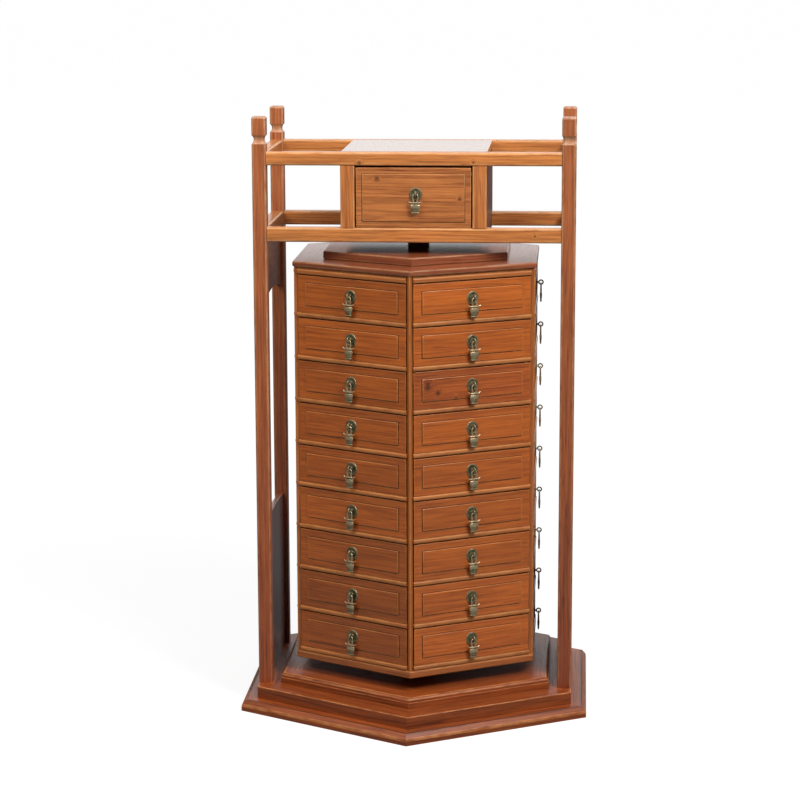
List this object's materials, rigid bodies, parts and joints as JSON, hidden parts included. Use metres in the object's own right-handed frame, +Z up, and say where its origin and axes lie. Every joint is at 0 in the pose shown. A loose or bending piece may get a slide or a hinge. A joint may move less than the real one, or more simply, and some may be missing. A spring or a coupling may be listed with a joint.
{
  "type": "revolving storage cabinet",
  "caption": "Hexagonal storage cabinet with small drawers on every face, turning on a spindle inside an open four-post frame with a frieze drawer, on a stepped hexagonal plinth.",
  "frame": {"origin": "on the floor, at the centre of the hexagonal plinth, under the pivot", "axes": "+Z up; the viewer in front looks along +Y, with +X to the right"},
  "size_m": [0.79, 0.9122, 1.357],
  "materials": {
    "lacquered_hardwood": "clear orange-brown lacquer, satin",
    "antique_brass": "aged, dull olive-brown",
    "bearing_iron": "dark, bare"
  },
  "bodies": {
    "frame_and_plinth": {"plinth_base_board": "lacquered_hardwood", "plinth_middle_board": "lacquered_hardwood", "plinth_top_board": "lacquered_hardwood", "front_left_post": "lacquered_hardwood", "front_right_post": "lacquered_hardwood", "back_left_post": "lacquered_hardwood", "back_right_post": "lacquered_hardwood", "upper_rails": "lacquered_hardwood", "lower_rails": "lacquered_hardwood", "end_panels": "lacquered_hardwood", "frieze_uprights": "lacquered_hardwood", "frieze_boards": "lacquered_hardwood", "pivot_bearings": "bearing_iron"},
    "revolving_case": {"pivot_spindle": "lacquered_hardwood", "case_bottom_board": "lacquered_hardwood", "case_top_boards": "lacquered_hardwood", "case_corner_posts": "lacquered_hardwood", "case_partitions": "lacquered_hardwood", "case_shelves": "lacquered_hardwood", "side_drawers": "lacquered_hardwood", "back_drawers": "lacquered_hardwood", "side_and_back_pulls": "antique_brass"},
    "frieze_drawer": {"frieze_drawer": "lacquered_hardwood"},
    "frieze_drop": {"frieze_drop": "antique_brass"},
    "left_drawer_1": {"left_drawer_1": "lacquered_hardwood"},
    "left_drawer_2": {"left_drawer_2": "lacquered_hardwood"},
    "left_drawer_3": {"left_drawer_3": "lacquered_hardwood"},
    "left_drawer_4": {"left_drawer_4": "lacquered_hardwood"},
    "left_drawer_5": {"left_drawer_5": "lacquered_hardwood"},
    "left_drawer_6": {"left_drawer_6": "lacquered_hardwood"},
    "left_drawer_7": {"left_drawer_7": "lacquered_hardwood"},
    "left_drawer_8": {"left_drawer_8": "lacquered_hardwood"},
    "left_drawer_9": {"left_drawer_9": "lacquered_hardwood"},
    "right_drawer_1": {"right_drawer_1": "lacquered_hardwood"},
    "right_drawer_2": {"right_drawer_2": "lacquered_hardwood"},
    "right_drawer_3": {"right_drawer_3": "lacquered_hardwood"},
    "right_drawer_4": {"right_drawer_4": "lacquered_hardwood"},
    "right_drawer_5": {"right_drawer_5": "lacquered_hardwood"},
    "right_drawer_6": {"right_drawer_6": "lacquered_hardwood"},
    "right_drawer_7": {"right_drawer_7": "lacquered_hardwood"},
    "right_drawer_8": {"right_drawer_8": "lacquered_hardwood"},
    "right_drawer_9": {"right_drawer_9": "lacquered_hardwood"},
    "left_drop_1": {"left_drop_1": "antique_brass"},
    "left_drop_2": {"left_drop_2": "antique_brass"},
    "left_drop_3": {"left_drop_3": "antique_brass"},
    "left_drop_4": {"left_drop_4": "antique_brass"},
    "left_drop_5": {"left_drop_5": "antique_brass"},
    "left_drop_6": {"left_drop_6": "antique_brass"},
    "left_drop_7": {"left_drop_7": "antique_brass"},
    "left_drop_8": {"left_drop_8": "antique_brass"},
    "left_drop_9": {"left_drop_9": "antique_brass"},
    "right_drop_1": {"right_drop_1": "antique_brass"},
    "right_drop_2": {"right_drop_2": "antique_brass"},
    "right_drop_3": {"right_drop_3": "antique_brass"},
    "right_drop_4": {"right_drop_4": "antique_brass"},
    "right_drop_5": {"right_drop_5": "antique_brass"},
    "right_drop_6": {"right_drop_6": "antique_brass"},
    "right_drop_7": {"right_drop_7": "antique_brass"},
    "right_drop_8": {"right_drop_8": "antique_brass"},
    "right_drop_9": {"right_drop_9": "antique_brass"}
  },
  "joints": [
    {"name": "case_turn", "type": "hinge", "parent": "frame_and_plinth", "child": "revolving_case", "pos_m": [0, 0, 0.077], "axis": [0, 0, 1], "continuous": true},
    {"name": "frieze_drawer_slide", "type": "slide", "parent": "frame_and_plinth", "child": "frieze_drawer", "axis": [0, -1, 0], "range_m": [0, 0.23]},
    {"name": "frieze_drop_swing", "type": "hinge", "parent": "frieze_drawer", "child": "frieze_drop", "pos_m": [0, -0.1897, 1.189], "axis": [-1, 0, 0], "range_deg": [-9, 160]},
    {"name": "left_drawer_1_slide", "type": "slide", "parent": "revolving_case", "child": "left_drawer_1", "axis": [-0.5, -0.866, 0], "range_m": [0, 0.14]},
    {"name": "left_drawer_2_slide", "type": "slide", "parent": "revolving_case", "child": "left_drawer_2", "axis": [-0.5, -0.866, 0], "range_m": [0, 0.14]},
    {"name": "left_drawer_3_slide", "type": "slide", "parent": "revolving_case", "child": "left_drawer_3", "axis": [-0.5, -0.866, 0], "range_m": [0, 0.14]},
    {"name": "left_drawer_4_slide", "type": "slide", "parent": "revolving_case", "child": "left_drawer_4", "axis": [-0.5, -0.866, 0], "range_m": [0, 0.14]},
    {"name": "left_drawer_5_slide", "type": "slide", "parent": "revolving_case", "child": "left_drawer_5", "axis": [-0.5, -0.866, 0], "range_m": [0, 0.14]},
    {"name": "left_drawer_6_slide", "type": "slide", "parent": "revolving_case", "child": "left_drawer_6", "axis": [-0.5, -0.866, 0], "range_m": [0, 0.14]},
    {"name": "left_drawer_7_slide", "type": "slide", "parent": "revolving_case", "child": "left_drawer_7", "axis": [-0.5, -0.866, 0], "range_m": [0, 0.14]},
    {"name": "left_drawer_8_slide", "type": "slide", "parent": "revolving_case", "child": "left_drawer_8", "axis": [-0.5, -0.866, 0], "range_m": [0, 0.14]},
    {"name": "left_drawer_9_slide", "type": "slide", "parent": "revolving_case", "child": "left_drawer_9", "axis": [-0.5, -0.866, 0], "range_m": [0, 0.14]},
    {"name": "right_drawer_1_slide", "type": "slide", "parent": "revolving_case", "child": "right_drawer_1", "axis": [0.5, -0.866, 0], "range_m": [0, 0.14]},
    {"name": "right_drawer_2_slide", "type": "slide", "parent": "revolving_case", "child": "right_drawer_2", "axis": [0.5, -0.866, 0], "range_m": [0, 0.14]},
    {"name": "right_drawer_3_slide", "type": "slide", "parent": "revolving_case", "child": "right_drawer_3", "axis": [0.5, -0.866, 0], "range_m": [0, 0.14]},
    {"name": "right_drawer_4_slide", "type": "slide", "parent": "revolving_case", "child": "right_drawer_4", "axis": [0.5, -0.866, 0], "range_m": [0, 0.14]},
    {"name": "right_drawer_5_slide", "type": "slide", "parent": "revolving_case", "child": "right_drawer_5", "axis": [0.5, -0.866, 0], "range_m": [0, 0.14]},
    {"name": "right_drawer_6_slide", "type": "slide", "parent": "revolving_case", "child": "right_drawer_6", "axis": [0.5, -0.866, 0], "range_m": [0, 0.14]},
    {"name": "right_drawer_7_slide", "type": "slide", "parent": "revolving_case", "child": "right_drawer_7", "axis": [0.5, -0.866, 0], "range_m": [0, 0.14]},
    {"name": "right_drawer_8_slide", "type": "slide", "parent": "revolving_case", "child": "right_drawer_8", "axis": [0.5, -0.866, 0], "range_m": [0, 0.14]},
    {"name": "right_drawer_9_slide", "type": "slide", "parent": "revolving_case", "child": "right_drawer_9", "axis": [0.5, -0.866, 0], "range_m": [0, 0.14]},
    {"name": "left_drop_1_swing", "type": "hinge", "parent": "left_drawer_1", "child": "left_drop_1", "pos_m": [-0.14075, -0.24378, 0.9667], "axis": [-0.866, 0.5, 0], "range_deg": [-9, 160]},
    {"name": "left_drop_2_swing", "type": "hinge", "parent": "left_drawer_2", "child": "left_drop_2", "pos_m": [-0.14075, -0.24378, 0.8692], "axis": [-0.866, 0.5, 0], "range_deg": [-9, 160]},
    {"name": "left_drop_3_swing", "type": "hinge", "parent": "left_drawer_3", "child": "left_drop_3", "pos_m": [-0.14075, -0.24378, 0.7717], "axis": [-0.866, 0.5, 0], "range_deg": [-9, 160]},
    {"name": "left_drop_4_swing", "type": "hinge", "parent": "left_drawer_4", "child": "left_drop_4", "pos_m": [-0.14075, -0.24378, 0.6742], "axis": [-0.866, 0.5, 0], "range_deg": [-9, 160]},
    {"name": "left_drop_5_swing", "type": "hinge", "parent": "left_drawer_5", "child": "left_drop_5", "pos_m": [-0.14075, -0.24378, 0.5767], "axis": [-0.866, 0.5, 0], "range_deg": [-9, 160]},
    {"name": "left_drop_6_swing", "type": "hinge", "parent": "left_drawer_6", "child": "left_drop_6", "pos_m": [-0.14075, -0.24378, 0.4792], "axis": [-0.866, 0.5, 0], "range_deg": [-9, 160]},
    {"name": "left_drop_7_swing", "type": "hinge", "parent": "left_drawer_7", "child": "left_drop_7", "pos_m": [-0.14075, -0.24378, 0.3817], "axis": [-0.866, 0.5, 0], "range_deg": [-9, 160]},
    {"name": "left_drop_8_swing", "type": "hinge", "parent": "left_drawer_8", "child": "left_drop_8", "pos_m": [-0.14075, -0.24378, 0.2842], "axis": [-0.866, 0.5, 0], "range_deg": [-9, 160]},
    {"name": "left_drop_9_swing", "type": "hinge", "parent": "left_drawer_9", "child": "left_drop_9", "pos_m": [-0.14075, -0.24378, 0.1867], "axis": [-0.866, 0.5, 0], "range_deg": [-9, 160]},
    {"name": "right_drop_1_swing", "type": "hinge", "parent": "right_drawer_1", "child": "right_drop_1", "pos_m": [0.14075, -0.24378, 0.9667], "axis": [-0.866, -0.5, 0], "range_deg": [-9, 160]},
    {"name": "right_drop_2_swing", "type": "hinge", "parent": "right_drawer_2", "child": "right_drop_2", "pos_m": [0.14075, -0.24378, 0.8692], "axis": [-0.866, -0.5, 0], "range_deg": [-9, 160]},
    {"name": "right_drop_3_swing", "type": "hinge", "parent": "right_drawer_3", "child": "right_drop_3", "pos_m": [0.14075, -0.24378, 0.7717], "axis": [-0.866, -0.5, 0], "range_deg": [-9, 160]},
    {"name": "right_drop_4_swing", "type": "hinge", "parent": "right_drawer_4", "child": "right_drop_4", "pos_m": [0.14075, -0.24378, 0.6742], "axis": [-0.866, -0.5, 0], "range_deg": [-9, 160]},
    {"name": "right_drop_5_swing", "type": "hinge", "parent": "right_drawer_5", "child": "right_drop_5", "pos_m": [0.14075, -0.24378, 0.5767], "axis": [-0.866, -0.5, 0], "range_deg": [-9, 160]},
    {"name": "right_drop_6_swing", "type": "hinge", "parent": "right_drawer_6", "child": "right_drop_6", "pos_m": [0.14075, -0.24378, 0.4792], "axis": [-0.866, -0.5, 0], "range_deg": [-9, 160]},
    {"name": "right_drop_7_swing", "type": "hinge", "parent": "right_drawer_7", "child": "right_drop_7", "pos_m": [0.14075, -0.24378, 0.3817], "axis": [-0.866, -0.5, 0], "range_deg": [-9, 160]},
    {"name": "right_drop_8_swing", "type": "hinge", "parent": "right_drawer_8", "child": "right_drop_8", "pos_m": [0.14075, -0.24378, 0.2842], "axis": [-0.866, -0.5, 0], "range_deg": [-9, 160]},
    {"name": "right_drop_9_swing", "type": "hinge", "parent": "right_drawer_9", "child": "right_drop_9", "pos_m": [0.14075, -0.24378, 0.1867], "axis": [-0.866, -0.5, 0], "range_deg": [-9, 160]}
  ]
}
